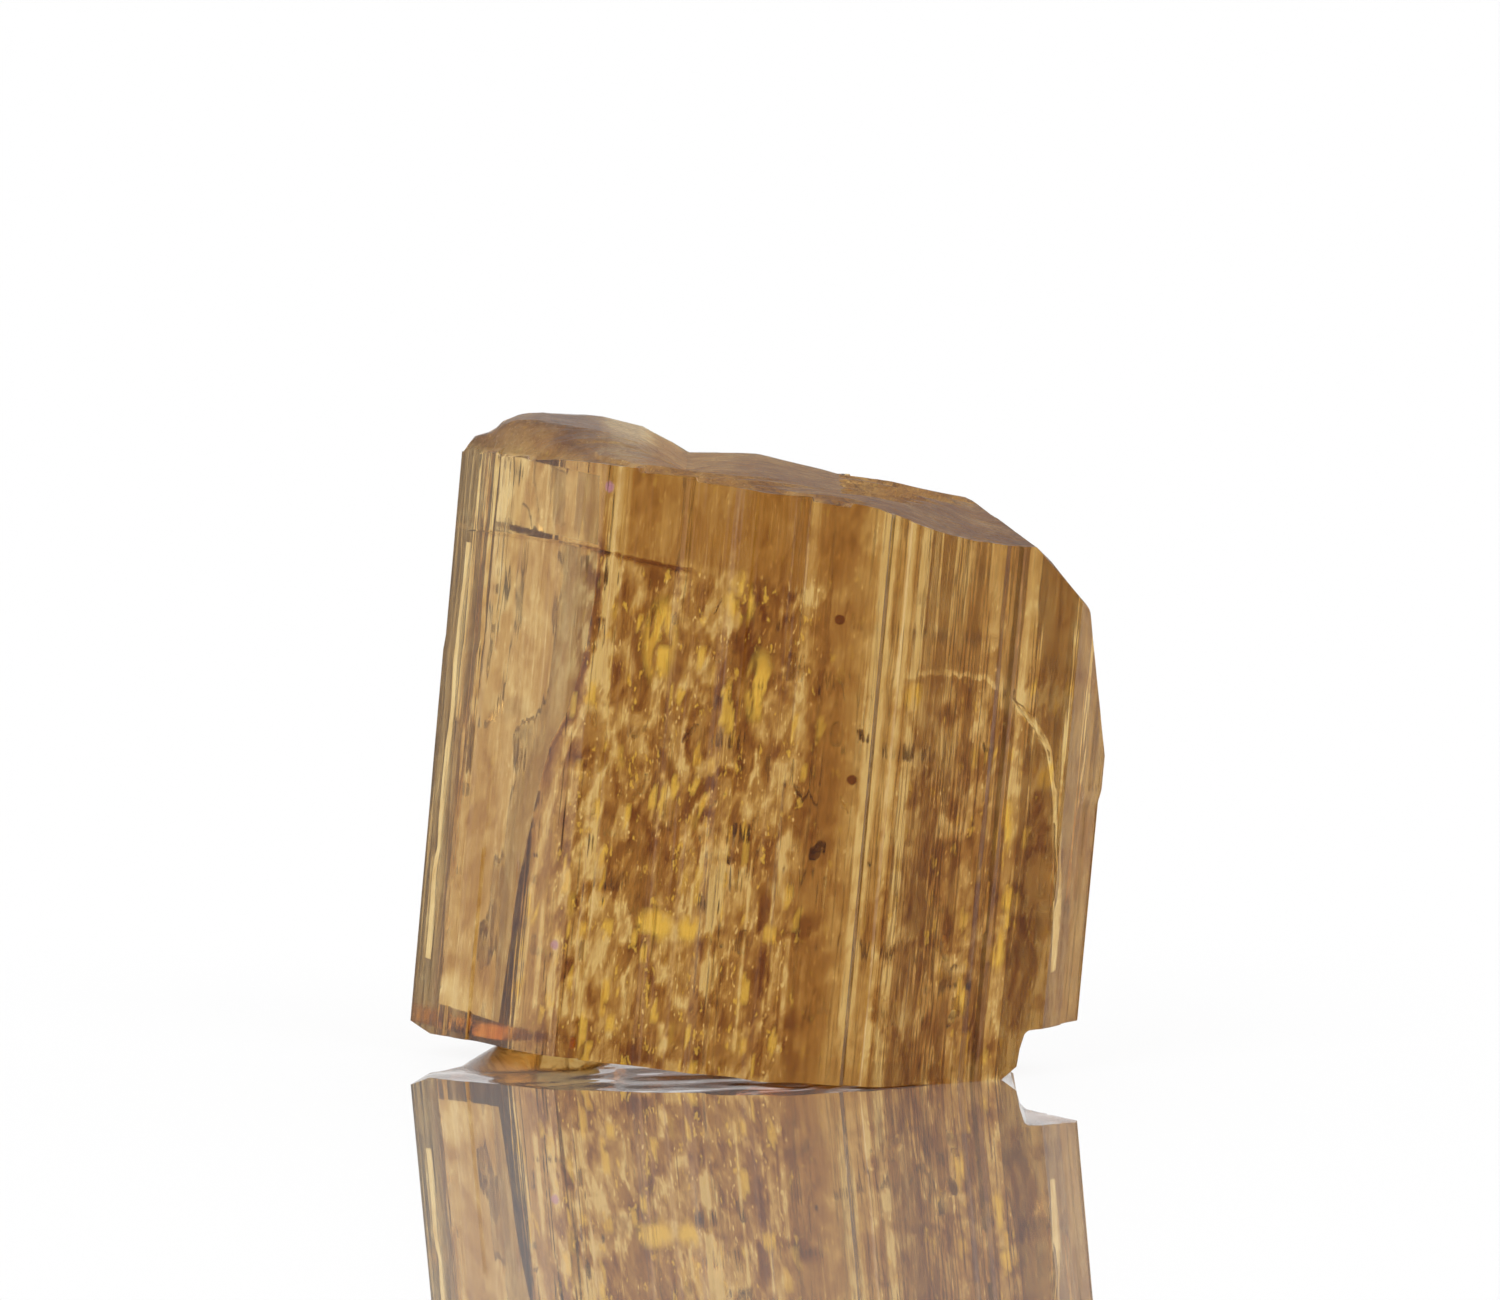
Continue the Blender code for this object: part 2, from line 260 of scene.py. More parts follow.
def top_relief(x, y):
    """Height of the cleaved top."""
    terrace = TOP_HEIGHT - TOP_DIP * max(x, TOP_DIP_START)
    terrace -= LEFT_RIM_DIP * max(LEFT_RIM_START - x, 0.0)
    front = depth_inside(x, y, FRONT_FACES)
    back = depth_inside(x, y, BACK_FACES)
    waver = noise.noise(Vector((x * LEDGE_SCALE, y * LEDGE_SCALE, 4.0)))
    ledge = LEDGE_WIDTH * (LEDGE_NARROWEST + LEDGE_WAVER * waver)
    if front < ledge:
        terrace -= LEDGE_DROP
    wander = noise.noise(Vector((x * TOP_LEDGE_SCALE[0], y * TOP_LEDGE_SCALE[1], 9.0)))
    rank = (y + TOP_LEDGE_WANDER * wander) / TOP_LEDGES
    terrace += TOP_LEDGE_HEIGHT * (1.0 - (rank - math.floor(rank))) - 0.5 * TOP_LEDGE_HEIGHT
    way_back = clamp(front / max(front + back, 0.1))
    climb = clamp((way_back - HILL_SLOPE[0]) / (HILL_SLOPE[1] - HILL_SLOPE[0]))
    if x < HILL_OUTLINE[-1][0]:
        terrace += climb * (outline_height(x, HILL_OUTLINE) - terrace)
    return min(terrace + hackle(x, y, 1.0), shoulder(x, y))


def base_relief(x, y):
    """Height of the broken base, cut level where it meets the table."""
    if x > NOTCH_EDGE:
        inside = x - NOTCH_EDGE
        rounding = NOTCH_ROUNDING * (1.0 - clamp(inside / NOTCH_ROUNDING))
        return NOTCH_HEIGHT + NOTCH_CLIMB * inside - rounding + hackle(x, y, 5.0)
    height = BASE_HEIGHT + BASE_CLIMB * x + hackle(x, y, 3.0)
    height += LEFT_CORNER_SLOPE * max(LEFT_CORNER_START - x, 0.0)
    height += RIGHT_CORNER_SLOPE * max(min(x, NOTCH_EDGE) - RIGHT_CORNER_START, 0.0)
    across = math.hypot((x - FOOT_CENTRE[0]) / FOOT_REACH[0], (y - FOOT_CENTRE[1]) / FOOT_REACH[1])
    height -= FOOT_DROP * clamp(FOOT_EDGE - across)
    ground = x * math.tan(LEAN) - GROUND_DROP / math.cos(LEAN)
    return max(height, ground)


class Shell:
    """Points and faces of the crystal's skin, in its own frame."""

    def __init__(self):
        self.points = []
        self.faces = []
        self.parts = []

    def close_part(self, name):
        """Names the part of the skin that all the points since the last part belong to."""
        self.parts += [name] * (len(self.points) - len(self.parts))

    def add_sides(self, columns):
        """The striated sides, as a grid from base to top. Returns the grid's lowest and highest rings."""
        rows = round((TOP_HEIGHT + HILL_RISE) / ROW_HEIGHT)
        first = len(self.points)
        for row in range(rows + 1):
            for index, (name, share, point, normal, own) in enumerate(columns):
                low = base_relief(point.x, point.y)
                high = top_relief(point.x, point.y)
                height = low + (high - low) * row / rows
                ripple = noise.noise(Vector((index * RIPPLE_SCALE[0], height * RIPPLE_SCALE[1], 2.0)))
                sunk = FINE_DEPTH * clamp(own * FINE_OWN + ripple * FINE_RIPPLE)
                place = point - normal * (sunk + step_back(name, share, height))
                self.points.append((place.x, place.y, height))
        count = len(columns)
        for row in range(rows):
            for index in range(count):
                after = (index + 1) % count
                low, high = first + row * count, first + (row + 1) * count
                self.faces.append((low + index, low + after, high + after, high + index))
        highest = first + rows * count
        return list(range(first, first + count)), list(range(highest, highest + count))

    def add_cap(self, ring, relief, upward):
        """A broken end: the ring is filled with fine triangles that follow the relief."""
        flat = [Vector(self.points[index][:2]) for index in ring]
        for x in np.arange(*CAP_X, CAP_CELL):
            for y in np.arange(*CAP_Y, CAP_CELL):
                if depth_inside(x, y, PRISM_FACES) > CAP_EDGE_GAP + STRIP_DEPTH + FINE_DEPTH:
                    flat.append(Vector((x, y)))
        loop = list(range(len(ring)))
        edges = list(zip(loop, loop[1:] + loop[:1]))
        made, _, faces, origins, _, _ = delaunay_2d_cdt(flat, edges, [loop], 1, SAME_POINT)
        place_of = []
        for spot, origin in zip(made, origins):
            ring_index = [number for number in origin if number < len(ring)]
            if ring_index:
                place_of.append(ring[ring_index[0]])
            else:
                place_of.append(len(self.points))
                self.points.append((spot.x, spot.y, relief(spot.x, spot.y)))
        for face in faces:
            corners = [place_of[number] for number in face]
            a, b, c = (Vector(self.points[corner][:2]) for corner in corners[:3])
            is_up = (b - a).cross(c - a) > 0
            self.faces.append(corners if is_up == upward else corners[::-1])


skin = Shell()
bottom_ring, top_ring = skin.add_sides(fine_columns())
skin.close_part("side")
skin.add_cap(bottom_ring, base_relief, upward=False)
skin.close_part("base")
skin.add_cap(top_ring, top_relief, upward=True)
skin.close_part("top")
OUTER_FACES = len(skin.faces)

# Cracks. Thin air-filled cracks start just under the front and run back into the crystal while there is
# room. Each is a line under the front as (x, z) points, the direction in which it runs back, and its reach.
CRACK_MARGIN = 0.16
CRACK_STEPS = 14
CRACK_ROWS = 4
CRACK_WIDTH = 0.045
CRACK_WAVE = 0.10
CRACK_WAVE_SIZE = 0.9
CRACK_LEAST = 0.3
CRACK_STRIDE = 0.1
LEFT_CRACK = ((-4.17, 10.93), (-4.15, 9.86), (-4.27, 8.51), (-4.50, 7.36), (-4.83, 6.52), (-5.01, 5.48),
              (-5.27, 3.41), (-5.38, 1.59), (-5.46, 0.15))
ARCH_CRACK = ((2.41, 8.71), (2.72, 9.00), (3.47, 9.13), (4.48, 9.04), (5.07, 8.62), (5.57, 8.08),
              (5.96, 7.55), (6.22, 6.45), (6.42, 4.60), (6.52, 2.60))
CLEAVAGE_CRACK = ((-7.10, 10.86), (-6.42, 10.95), (-5.51, 11.00), (-4.61, 11.01), (-3.93, 10.95),
                  (-3.26, 10.87), (-2.15, 10.80))
CRACKS = (
    (((-4.27, 12.58), (-4.17, 11.06)), (-0.30, 0.95, 0.00), 6.0),
    (((-7.00, 10.60), (-7.05, 5.00), (-7.10, 1.20)), (-0.30, 0.95, 0.00), 3.0),
    (LEFT_CRACK, (-0.30, 0.95, 0.00), 6.0),
    (ARCH_CRACK[4:], (0.05, 0.98, 0.12), 0.45),
    (CLEAVAGE_CRACK, (0.15, 0.98, -0.06), 3.4),
)
CRACK_LAYER = 10.0


def front_depth(x):
    """How far forward the prism's front reaches at x."""
    depths = []
    for _, turn, distance, _ in FRONT_FACES:
        normal = face_normal(turn)
        depths.append((distance - normal.x * x) / normal.y)
    return max(depths)


def along_line(line, share):
    """The point at a share of the way along a line of points."""
    spot = share * (len(line) - 1)
    index = min(int(spot), len(line) - 2)
    return Vector(line[index]).lerp(Vector(line[index + 1]), spot - index)


def room_at(place):
    """How far a point is from the crystal's nearest surface."""
    level = min(top_relief(place.x, place.y) - place.z, place.z - base_relief(place.x, place.y))
    return min(depth_inside(place.x, place.y, PRISM_FACES), level)


def add_crack(shell, line, direction, reach, layer):
    """A crack from a line under the front face, running back along a direction while it stays inside."""
    heading = Vector(direction).normalized()
    last_row = len(line) * CRACK_ROWS
    rows = []
    for row in range(last_row + 1):
        x, z = along_line(line, row / last_row)
        start = Vector((x, front_depth(x) + CRACK_MARGIN, z))
        length = CRACK_LEAST
        while length < reach:
            if room_at(start + heading * (length + CRACK_STRIDE)) < CRACK_MARGIN + CRACK_WAVE:
                break
            length += CRACK_STRIDE
        rows.append((start, length))
    along = Vector((line[-1][0] - line[0][0], 0.0, line[-1][1] - line[0][1]))
    normal = along.cross(heading).normalized()
    corner_of = {}
    for side in (1, -1):
        for row, (start, length) in enumerate(rows):
            for step in range(CRACK_STEPS + 1):
                share = step / CRACK_STEPS
                place = start + heading * (length * share)
                spot = Vector((place.x, place.y, place.z + layer)) / CRACK_WAVE_SIZE
                wave = noise.noise(spot) + 0.4 * noise.noise(spot * 3)
                place += normal * CRACK_WAVE * wave * min(1.0, 3 * share)
                width = CRACK_WIDTH * min(1.0, 4 * share, 4 * (1 - share))
                if row in (0, last_row) or step in (0, CRACK_STEPS):
                    if side == -1:
                        corner_of[side, row, step] = corner_of[1, row, step]
                        continue
                    width = 0.0
                corner_of[side, row, step] = len(shell.points)
                shell.points.append(place + normal * width * side / 2)
    for side in (1, -1):
        for row in range(last_row):
            for step in range(CRACK_STEPS):
                around = ((row, step), (row, step + 1), (row + 1, step + 1), (row + 1, step))
                corners = [corner_of[side, spot_row, spot_step] for spot_row, spot_step in around]
                a, b, c = (Vector(shell.points[corner]) for corner in corners[:3])
                faces_gap = (b - a).cross(c - a).dot(normal) * side < 0
                shell.faces.append(corners if faces_gap else corners[::-1])


for number, (line, direction, reach) in enumerate(CRACKS):
    add_crack(skin, line, direction, reach, number * CRACK_LAYER)


GRAIN_ROUGHNESS = 0.65


class Wire:
    """One output of a node. A sum or product of wires and numbers adds its Math nodes."""

    def __init__(self, tree, socket=None):
        self.tree = tree
        self.socket = socket

    def node(self, kind, settings=None, sockets=None, output=0):
        """A node of a kind: its settings are set first, and then the values or links of its sockets."""
        made = self.tree.nodes.new(kind)
        for name, value in (settings or {}).items():
            if name == "stops":
                stops = made.color_ramp.elements
                while len(stops) < len(value):
                    stops.new(1.0)
                for stop, (position, colour) in zip(stops, value):
                    stop.position = position
                    stop.color = (*colour, 1.0)
            else:
                setattr(made, name, value)
        for name, value in (sockets or {}).items():
            if isinstance(value, Wire):
                self.tree.links.new(value.socket, made.inputs[name])
            else:
                made.inputs[name].default_value = value
        return Wire(self.tree, made.outputs[output] if made.outputs else None)

    def beside(self, output):
        """Another output of the node that this wire comes from."""
        return Wire(self.tree, self.socket.node.outputs[output])

    def maths(self, operation, *values):
        """A Math node on some values."""
        return self.node("ShaderNodeMath", {"operation": operation}, dict(enumerate(values)))

    def __add__(self, other):
        return self.maths("ADD", self, other)

    def __radd__(self, other):
        return self.maths("ADD", other, self)

    def __sub__(self, other):
        return self.maths("SUBTRACT", self, other)

    def __rsub__(self, other):
        return self.maths("SUBTRACT", other, self)

    def __mul__(self, other):
        return self.maths("MULTIPLY", self, other)

    def __rmul__(self, other):
        return self.maths("MULTIPLY", other, self)

    def rise(self, low, high):
        """A smooth rise from 0 to 1, as this value goes from low to high."""
        levels = {"Value": self, "From Min": low, "From Max": high}
        return self.node("ShaderNodeMapRange", {"interpolation_type": "SMOOTHSTEP"}, levels)

    def line(self, points, low, high):
        """The height of a broken line of (position, height) points, with this value as the position."""
        least = min(height for _, height in points)
        most = max(height for _, height in points)
        stops = []
        for position, height in points:
            level = (height - least) / (most - least)
            stops.append(((position - low) / (high - low), (level, level, level)))
        share = self.node("ShaderNodeMapRange", None, {"Value": self, "From Min": low, "From Max": high})
        return share.node("ShaderNodeValToRGB", {"stops": stops}, {"Fac": share}) * (most - least) + least

    def grain(self, scale, detail, place=(0.0, 0.0, 0.0)):
        """Noise over this vector, with its own scale along each axis."""
        spot = self.node("ShaderNodeMapping", None, {"Vector": self, "Location": place, "Scale": scale})
        texture = {"Vector": spot, "Scale": 1.0, "Detail": detail, "Roughness": GRAIN_ROUGHNESS}
        return self.node("ShaderNodeTexNoise", None, texture)

    def away_from(self, point):
        """How far this vector is from a point."""
        return self.node("ShaderNodeVectorMath", {"operation": "DISTANCE"}, {0: self, 1: point}, "Value")

    def blend(self, other, share):
        """This colour mixed with another one."""
        return self.node("ShaderNodeMix", {"data_type": "RGBA"}, {0: share, 6: self, 7: (*other, 1.0)}, 2)


# Healed fractures. Where the crystal broke and grew together again, small lens-shaped films of air were
# left, standing at all angles through its middle. Their room is an outline seen from above, and two levels.
FILM_SIZES = {"Density": 0.34, "Smallest": 0.04, "Largest": 0.22, "Stretch": 1.7, "Flatness": 0.10,
              "Tilt": 0.60, "Seed": 31}
FILM_ROOM = ((-6.0, 0.6), (-5.3, -0.9), (-3.8, -1.8), (-0.3, -3.6), (2.4, -4.2), (4.0, -3.6), (5.6, -2.6),
             (4.0, 0.6), (-1.8, 3.8), (-4.4, 2.9))
FILM_LEVELS = (1.0, 10.6)
FILM_VOXELS = 48.0


def film_tree():
    """Scatters lens-shaped films through the room that the modifier's mesh encloses."""
    tree = bpy.data.node_groups.new("healed_fractures", "GeometryNodeTree")
    kinds = {"Room": "Geometry", "Seed": "Int", "Material": "Material"}
    for name in ("Room", *FILM_SIZES, "Material"):
        kind = "NodeSocket" + kinds.get(name, "Float")
        tree.interface.new_socket(name, in_out="INPUT", socket_type=kind)
    tree.interface.new_socket("Films", in_out="OUTPUT", socket_type="NodeSocketGeometry")
    room = Wire(tree).node("NodeGroupInput", None, None, "Room")
    density, seed, tilt = room.beside("Density"), room.beside("Seed"), room.beside("Tilt")
    filled = room.node("GeometryNodeMeshToVolume", None, {"Mesh": room, "Voxel Amount": FILM_VOXELS})
    spots = room.node("GeometryNodeDistributePointsInVolume", None,
                      {"Volume": filled, "Density": density, "Seed": seed})
    ball = room.node("GeometryNodeMeshIcoSphere", None, {"Radius": 1.0, "Subdivisions": 1})
    shape = room.node("ShaderNodeCombineXYZ", None,
                      {"X": 1.0, "Y": room.beside("Stretch"), "Z": room.beside("Flatness")})
    lens = room.node("GeometryNodeTransform", None, {"Geometry": ball, "Scale": shape})
    hollow = room.node("GeometryNodeFlipFaces", None, {"Mesh": lens})
    size = room.node("FunctionNodeRandomValue", None,
                     {2: room.beside("Smallest"), 3: room.beside("Largest"), "Seed": seed}, 1)
    least = room.node("ShaderNodeCombineXYZ", None, {"X": math.pi / 2 - tilt})
    most = room.node("ShaderNodeCombineXYZ", None, {"X": math.pi / 2 + tilt, "Z": 2 * math.pi})
    turn = room.node("FunctionNodeRandomValue", {"data_type": "FLOAT_VECTOR"}, {0: least, 1: most})
    placed = room.node("GeometryNodeInstanceOnPoints", None,
                       {"Points": spots, "Instance": hollow, "Rotation": turn, "Scale": size})
    real = room.node("GeometryNodeRealizeInstances", None, {"Geometry": placed})
    named = room.node("GeometryNodeSetMaterial", None,
                      {"Geometry": real, "Material": room.beside("Material")})
    room.node("NodeGroupOutput", None, {"Films": named})
    return tree


def film_mesh(material):
    """The scattered films as a plain mesh."""
    room_mesh = bmesh.new()
    ground = room_mesh.faces.new([room_mesh.verts.new((*corner, FILM_LEVELS[0])) for corner in FILM_ROOM])
    raised = bmesh.ops.extrude_face_region(room_mesh, geom=[ground])
    for item in raised["geom"]:
        if isinstance(item, bmesh.types.BMVert):
            item.co.z = FILM_LEVELS[1]
    bmesh.ops.recalc_face_normals(room_mesh, faces=room_mesh.faces[:])
    room_data = bpy.data.meshes.new("film_room")
    room_mesh.to_mesh(room_data)
    room_mesh.free()
    room = bpy.data.objects.new("film_room", room_data)
    bpy.context.scene.collection.objects.link(room)
    films = room.modifiers.new("healed_fractures", "NODES")
    films.node_group = film_tree()
    values = {**FILM_SIZES, "Material": material}
    for item in films.node_group.interface.items_tree:
        if item.name in values:
            films[item.identifier] = values[item.name]
    bpy.context.view_layer.update()
    graph = bpy.context.evaluated_depsgraph_get()
    made = bpy.data.meshes.new_from_object(room.evaluated_get(graph))
    room.modifiers.remove(films)
    bpy.data.objects.remove(room)
    return made


topaz = bpy.data.materials.new("golden_topaz")
films = film_mesh(topaz)
first_film_point = len(skin.points)
skin.points += [point.co.copy() for point in films.vertices]
skin.faces += [[first_film_point + corner for corner in polygon.vertices] for polygon in films.polygons]
bpy.data.meshes.remove(films)

# Patches of colour. Where the crystal is shattered inside, dark and pale facets stand side by side. A few
# windows and sparkles of golden light are painted in. A depth of colour goes from 0, palest, to 1. Along
# the front, a painted highlight band is a (x, half width, foot, paleness), a line a (x, half width,
# darkness), a painted highlight streak a (x, half width, foot, tip), and a window or patch starts with (x,
# z, half width, half height). Other pairs are where edges fade.
STREAK_SIZE = (4.2, 4.2, 0.26)
BROAD_SIZE = (0.9, 0.9, 0.12)
WANDER_SIZE = (1.3, 1.3, 0.9)
WANDER = 0.9
WANDER_SEED = 3
MOTTLE_SIZE = (2.0, 2.0, 1.1)
FACET_SCALES = (1.2, 2.8)
FACET_SHARES = (1.0, 0.7)
SPARKLE_SIZE = (6.5, 6.5, 2.4)
WINDOW_GRAIN = (6.0, 6.0, 1.8)
FRONT_HALF = (0.9, 0.4)
CENTRE_LEFT = (-4.8, -4.2)
CENTRE_RIGHT = (1.6, 0.2)
CENTRE_TOP = (11.0, 10.6)
ARCH_LEFT = (2.2, 3.2)
ARCH_RIGHT = (6.7, 6.3)
ARCH_TOP = (9.2, 8.8)
CENTRE_SPARKLES_TOP = (10.7, 9.5)
ARCH_SPARKLES_LEFT = (4.0, 5.0)
HILL_RIGHT = (-3.0, -3.6)
HILL_BOTTOM = (12.7, 13.0)
PALE_HILL_LEFT = (-4.6, -4.1)
STREAK_DEPTH = 0.12
BROAD_DEPTH = 0.16
MOTTLE_DEPTH = (0.06, 0.20)
FACET_DEPTH = (0.03, 0.36)
BACK_SHARE = 0.4
PALE_SHARE = 0.7
END_MOTTLE = 0.18
END_BROAD = 0.12
END_SHATTER = 0.3
PALE_HIGHLIGHT_BANDS = ((0.46, 0.13, 0.0, 0.24), (2.13, 0.20, 1.5, 0.24), (2.60, 0.06, 0.0, 0.22),
              (2.93, 0.10, 0.0, 0.24), (-3.90, 0.13, 8.4, 0.22), (-3.75, 0.22, 0.0, 0.14))
DARK_LINES = ((2.75, 0.05, 0.18), (-4.42, 0.07, 0.14))
SHINE_STREAKS = ((-1.02, 0.13, 1.5, 3.9), (-0.25, 0.05, 0.6, 5.4), (0.28, 0.04, 0.9, 4.4),
                 (0.72, 0.06, 0.5, 3.6), (1.10, 0.04, 0.6, 2.8), (-4.70, 0.06, 0.7, 3.2),
                 (-4.35, 0.10, 0.2, 2.4))
SHINE = 0.42
PALE_PATCHES = ((-5.15, 9.0, 0.85, 2.1, 0.06), (-6.6, 0.5, 1.1, 0.55, 0.14))
GOLD_LIGHT_WINDOWS = ((-2.66, 9.18, 0.38, 0.95), (-2.20, 2.95, 0.42, 0.36), (-0.42, 8.45, 0.30, 0.80),
                (-1.44, 2.95, 0.30, 0.30), (5.19, 5.75, 0.22, 0.75), (5.26, 3.10, 0.25, 0.55),
                (5.50, 4.20, 0.20, 0.30), (4.60, 1.97, 0.16, 0.60), (-5.18, 1.40, 0.20, 0.95),
                (-1.00, 10.30, 0.35, 0.55), (-4.95, 2.90, 0.16, 0.40), (2.95, 8.60, 0.20, 0.35))
END_DEPTH = 0.42
PALE_HILL = 0.40
HILL_SMOOTHNESS = 0.3
WINDOW_EDGE = (1.15, 0.5)
WINDOW_GAPS = (-0.22, 0.02)
SPARKLE_LEVEL = (0.90, 0.93)
SPARKLE_WANDER = 0.8
SPARKLE_GOLD = 0.75
PATCH_EDGE = (1.1, 0.6)
FACET_LAYER = Vector((5.0, 2.0, 8.0))


def rise(value, low, high):
    """A smooth rise from 0 to 1, as a value goes from low to high."""
    share = clamp((value - low) / (high - low))
    return share * share * (3 - 2 * share)


def scaled(place, size, lift=0.0):
    """A place in a pattern whose scale is given along each axis."""
    return Vector((place.x * size[0], place.y * size[1], place.z * size[2] + lift))


def end_values(part, place, mottle, broad):
    """Depth of colour, gold light, shattering and roughness of a broken end."""
    if part == "base":
        return 0.0, 0.0, END_SHATTER, 0.0
    hill = rise(place.x, *HILL_RIGHT) * rise(place.z, *HILL_BOTTOM)
    depth = END_DEPTH + END_MOTTLE * mottle + END_BROAD * broad
    depth -= PALE_HILL * hill * rise(place.x, *PALE_HILL_LEFT)
    return depth, 0.0, END_SHATTER, 1.0 - HILL_SMOOTHNESS * hill


def gold_light_share(place, wander, shattered_front):
    """The painted golden light of the front's windows, and the painted gold sparkles strewn between them.
    """
    gold = 0.0
    for x_middle, z_middle, half_width, half_height in GOLD_LIGHT_WINDOWS:
        away = math.hypot((place.x - x_middle) / half_width, (place.z - z_middle) / half_height)
        gold += rise(away, *WINDOW_EDGE)
    gold *= rise(noise.noise(scaled(place, WINDOW_GRAIN)), *WINDOW_GAPS)
    sparkle = noise.cell(scaled(place, SPARKLE_SIZE) + wander * SPARKLE_WANDER)
    return gold + SPARKLE_GOLD * rise(sparkle, *SPARKLE_LEVEL) * shattered_front


def side_values(place, streak, broad, wander, mottle, facet):
    """Depth of colour, gold light, shattering and roughness of the sides."""
    x, y, z = place
    front = rise(y, *FRONT_HALF)
    centre = rise(x, *CENTRE_LEFT) * rise(x, *CENTRE_RIGHT) * rise(z, *CENTRE_TOP)
    arch = rise(x, *ARCH_LEFT) * rise(x, *ARCH_RIGHT) * rise(z, *ARCH_TOP) * front
    shattered = clamp(0.2 + 0.8 * centre + 0.5 * arch)
    depth = STREAK_DEPTH * streak + BROAD_DEPTH * broad
    depth += mottle * (MOTTLE_DEPTH[0] + MOTTLE_DEPTH[1] * shattered)
    depth += facet * (FACET_DEPTH[0] + FACET_DEPTH[1] * shattered)
    depth *= (BACK_SHARE + (1.0 - BACK_SHARE) * front) * (1.0 if depth > 0 else PALE_SHARE)
    # Pale bands: painted highlights along the front.
    for middle, half_width, foot, paleness in PALE_HIGHLIGHT_BANDS:
        within = rise(abs(x - middle), half_width, half_width * 0.7) * rise(z, foot - 0.6, foot)
        depth -= paleness * within * front
    for middle, half_width, darkness in DARK_LINES:
        depth += darkness * rise(abs(x - middle), half_width, half_width * 0.4) * front
    # Shine streaks: painted highlights along the front.
    for middle, half_width, foot, tip in SHINE_STREAKS:
        reach = rise(z, foot - 0.3, foot + 0.2) * rise(z, tip + 0.3, tip - 0.4) * front
        depth -= SHINE * rise(abs(x - middle), half_width, half_width * 0.5) * reach
    for x_middle, z_middle, half_width, half_height, paleness in PALE_PATCHES:
        away = math.hypot((x - x_middle) / half_width, (z - z_middle) / half_height)
        depth -= paleness * rise(away, *PATCH_EDGE) * front
    sparkling = clamp(centre * rise(z, *CENTRE_SPARKLES_TOP) + arch * rise(x, *ARCH_SPARKLES_LEFT))
    return depth, gold_light_share(place, wander, sparkling) * front, shattered, 0.0


def surface_values(part, place):
    """Depth of colour, gold light, shattering and roughness at a point of a part of the surface."""
    broad = noise.noise(scaled(place, BROAD_SIZE, 4.0))
    wander = noise.noise_vector(scaled(place, WANDER_SIZE, 7.0))
    spot = scaled(place, MOTTLE_SIZE) + wander * WANDER
    mottle = noise.fractal(spot, 0.7, 2.0, 3)
    if part != "side":
        return end_values(part, place, mottle, broad)
    streak = noise.fractal(scaled(place, STREAK_SIZE), 0.8, 2.0, 3)
    facet = 0.0
    for number, (scale, share) in enumerate(zip(FACET_SCALES, FACET_SHARES)):
        facet += share * (noise.cell(spot * scale + number * FACET_LAYER) - 0.5)
    return side_values(place, streak, broad, wander, mottle, facet)


noise.seed_set(WANDER_SEED)
SHARP_EDGE = math.radians(24)
UNDERSIDE = -0.5
FRAME_PLACE = (-0.2554, -0.0769, GROUND_DROP)
crystal_data = bpy.data.meshes.new("topaz_crystal_body")
crystal_data.from_pydata([Vector(point) * MM for point in skin.points], [], skin.faces)
point_values = []
for part, point in zip(skin.parts, skin.points):
    point_values.append((*surface_values(part, Vector(point)), 1.0))
point_values += [(0.0,) * 5] * (len(skin.points) - len(point_values))
for number, name in enumerate(("patch_depth", "gold_light", "shattered", "broken_end", "outside")):
    layer = crystal_data.attributes.new(name, "FLOAT", "POINT")
    layer.data.foreach_set("value", [values[number] for values in point_values])
for polygon in crystal_data.polygons:
    polygon.use_smooth = polygon.index < OUTER_FACES and polygon.normal.z > UNDERSIDE
crystal_data.set_sharp_from_angle(angle=SHARP_EDGE)
stand = Matrix.Translation(Vector(FRAME_PLACE) * MM) @ Matrix.Rotation(LEAN, 4, "Y")
crystal_data.transform(stand)
crystal = bpy.data.objects.new("topaz_crystal_body", crystal_data)
bpy.context.scene.collection.objects.link(crystal)

# Clear golden topaz. Light loses some blue and green at every crossing of the surface, more where the
# colour is deeper, and the body of the crystal absorbs evenly. The broken top is crumbly, the sides glossy.
PALEST_LOSS = (0.16, 0.46, 1.30)
DEEPER_LOSS = (2.90, 4.70, 8.00)
DEPTH_STOPS = (0.0, 0.12, 0.25, 0.4, 0.55, 0.75, 1.0)
GOLD = (1.0, 0.60, 0.04)
VIOLET = (0.42, 0.16, 0.85)
# The places of two painted violet glints, and of two dark specks.
VIOLET_GLINTS = ((-4.06, -2.34, 12.37), (-4.37, -2.13, 2.15))
DARK_SPECKS = ((1.19, -4.78, 10.14), (1.77, -4.78, 6.68))
STRIA_SCALE = (11.0, 11.0, 0.20)
SPECKLE_SCALE = (5.0, 5.0, 2.4)
GLINT_SCALE = (14.0, 14.0, 5.0)
CRUMB_SCALE = (3.2, 5.0, 3.2)
BACK_DEPTH = 0.08
FRONT_DEPTH = 0.33
TOPAZ_IOR = 1.62
BODY_COLOUR = (0.64, 0.42, 0.0, 1.0)
BODY_DENSITY = 85.0
BUMP_HEIGHT = 0.05
CRUMB_SHARE = 4.0
STRIA_DEPTH = 0.28
STRIA_GLOSS = 0.22
STRIA_GLOSS_LEVEL = (0.60, 0.70)
SPECKLE_DEPTH = (0.10, 0.6)
GLINT_PALENESS = 0.38
GLINT_LEVEL = (0.66, 0.73)
SPECKLE_SPARKLE_LEVEL = (0.61, 0.69)
SPECKLE_SPARKLE_GOLD = 0.6
EDGE_RAGGEDNESS = 0.25
FRONT_EDGE = (0.8, 0.2)
DEEP_LEFT = (-4.9, -4.1)
DEEP_RIGHT = (2.2, 0.8)
DEEP_TOP = (11.0, 10.4)
DEEP_DEPTH = (0.13, 0.12)
PALE_RIGHT = (1.0, 2.2)
PALE_RIGHT_LOSS = 0.12
PALE_RIM = (6.0, 6.8)
PALE_RIM_LOSS = 0.16
